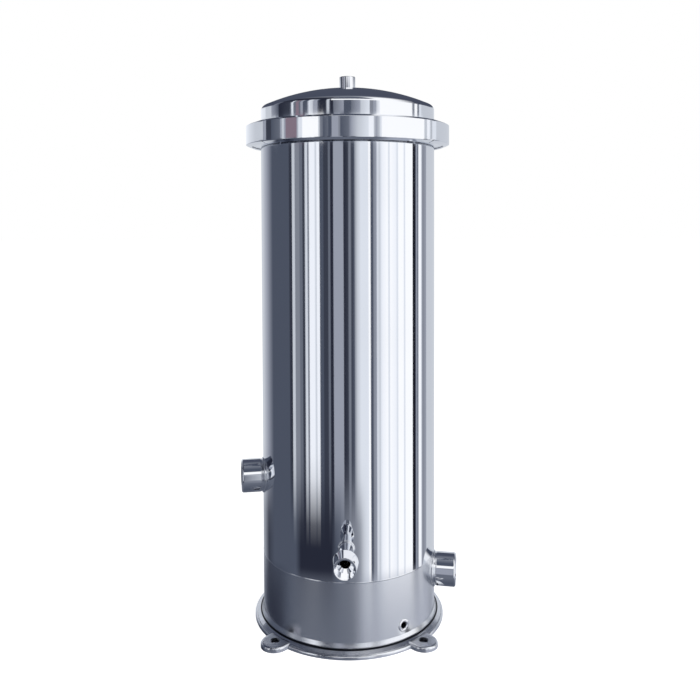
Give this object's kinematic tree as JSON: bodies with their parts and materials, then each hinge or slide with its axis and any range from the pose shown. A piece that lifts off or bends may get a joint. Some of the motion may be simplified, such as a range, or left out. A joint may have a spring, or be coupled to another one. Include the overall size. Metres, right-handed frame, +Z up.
{
  "type": "security filter",
  "caption": "Tall polished steel cartridge filter housing with a clamped dished head, side inlet and outlet, front drain, vent and an eared base flange.",
  "frame": {"origin": "centre of the base flange's underside, on the vessel's axis", "axes": "+Z up along the vessel's axis, -Y to the front where the drain is, +X to the side of the outlet"},
  "size_m": [0.2766, 0.3097, 0.6844],
  "materials": {
    "mirror_steel": "mirror-polished stainless steel",
    "satin_steel": "satin stainless steel",
    "fastener_steel": "turned stainless steel",
    "wound_cord": "wound filter cord",
    "white_plastic": "moulded plastic",
    "seal_rubber": "matt black rubber"
  },
  "bodies": {
    "vessel": {"base_flange": "satin_steel", "base_skirt": "satin_steel", "bottom_head": "satin_steel", "tube_sheet": "satin_steel", "shell": "mirror_steel", "shell_flange": "satin_steel", "inlet_neck": "satin_steel", "inlet_socket": "mirror_steel", "outlet_neck": "satin_steel", "outlet_socket": "mirror_steel", "drain_neck": "mirror_steel", "drain_socket": "mirror_steel", "cartridge_seats": "satin_steel", "lower_end_seals": "seal_rubber", "upper_end_seals": "seal_rubber", "cartridge_1": "wound_cord", "cartridge_2": "wound_cord", "cartridge_3": "wound_cord", "cartridge_4": "wound_cord", "cartridge_5": "wound_cord", "cartridge_6": "wound_cord", "cartridge_7": "wound_cord", "core_1": "white_plastic", "core_2": "white_plastic", "core_3": "white_plastic", "core_4": "white_plastic", "core_5": "white_plastic", "core_6": "white_plastic", "core_7": "white_plastic", "spring_cups": "white_plastic", "cartridge_springs": "fastener_steel", "tie_rod_1": "satin_steel", "tie_rod_2": "satin_steel", "tie_rod_3": "satin_steel", "hold_down_plate": "satin_steel", "tie_rod_nuts": "fastener_steel", "cover_seal": "seal_rubber"},
    "head": {"head_flange": "satin_steel", "head_dome": "mirror_steel", "vent_socket": "mirror_steel"},
    "clamp_front": {"front_retainer": "mirror_steel", "front_strap": "mirror_steel"},
    "clamp_arm_left": {"left_retainer": "mirror_steel", "left_strap": "mirror_steel"},
    "clamp_arm_right": {"right_retainer": "mirror_steel", "right_strap": "mirror_steel"},
    "bolt": {"t_bolt": "fastener_steel"},
    "bolt_trunnion": {"trunnion": "fastener_steel"},
    "bolt_nut": {"clamp_nut": "fastener_steel"}
  },
  "joints": [
    {"name": "head_lift", "type": "slide", "parent": "vessel", "child": "head", "axis": [0, 0, 1], "range_m": [0, 0.07]},
    {"name": "clamp_pull", "type": "slide", "parent": "vessel", "child": "clamp_front", "axis": [0, -0.9701, 0.2425], "range_m": [0, 0.1444]},
    {"name": "clamp_arm_left_open", "type": "hinge", "parent": "clamp_front", "child": "clamp_arm_left", "pos_m": [-0.10163, -0.07798, 0.609], "axis": [0, 0, 1], "range_deg": [0, 110]},
    {"name": "clamp_arm_right_open", "type": "hinge", "parent": "clamp_front", "child": "clamp_arm_right", "pos_m": [0.10163, -0.07798, 0.609], "axis": [0, 0, 1], "range_deg": [-110, 0]},
    {"name": "t_bolt_swivel", "type": "hinge", "parent": "clamp_arm_left", "child": "bolt", "pos_m": [-0.024, 0.138, 0.609], "axis": [0, 0, 1], "range_deg": [-110, 0]},
    {"name": "trunnion_swivel", "type": "hinge", "parent": "clamp_arm_right", "child": "bolt_trunnion", "pos_m": [0.024, 0.138, 0.609], "axis": [0, 0, 1], "range_deg": [0, 110]},
    {"name": "nut_spin", "type": "hinge", "parent": "bolt_trunnion", "child": "bolt_nut", "pos_m": [0.0403, 0.138, 0.609], "axis": [1, 0, 0], "continuous": true}
  ],
  "couplings": [
    {"joint": "clamp_pull", "follows": "head_lift", "ratio": 2.0615},
    {"joint": "clamp_arm_left_open", "follows": "head_lift", "rad_per_m": 27.426},
    {"joint": "clamp_arm_right_open", "follows": "head_lift", "rad_per_m": -27.426},
    {"joint": "t_bolt_swivel", "follows": "head_lift", "rad_per_m": -27.426},
    {"joint": "trunnion_swivel", "follows": "head_lift", "rad_per_m": 27.426}
  ]
}
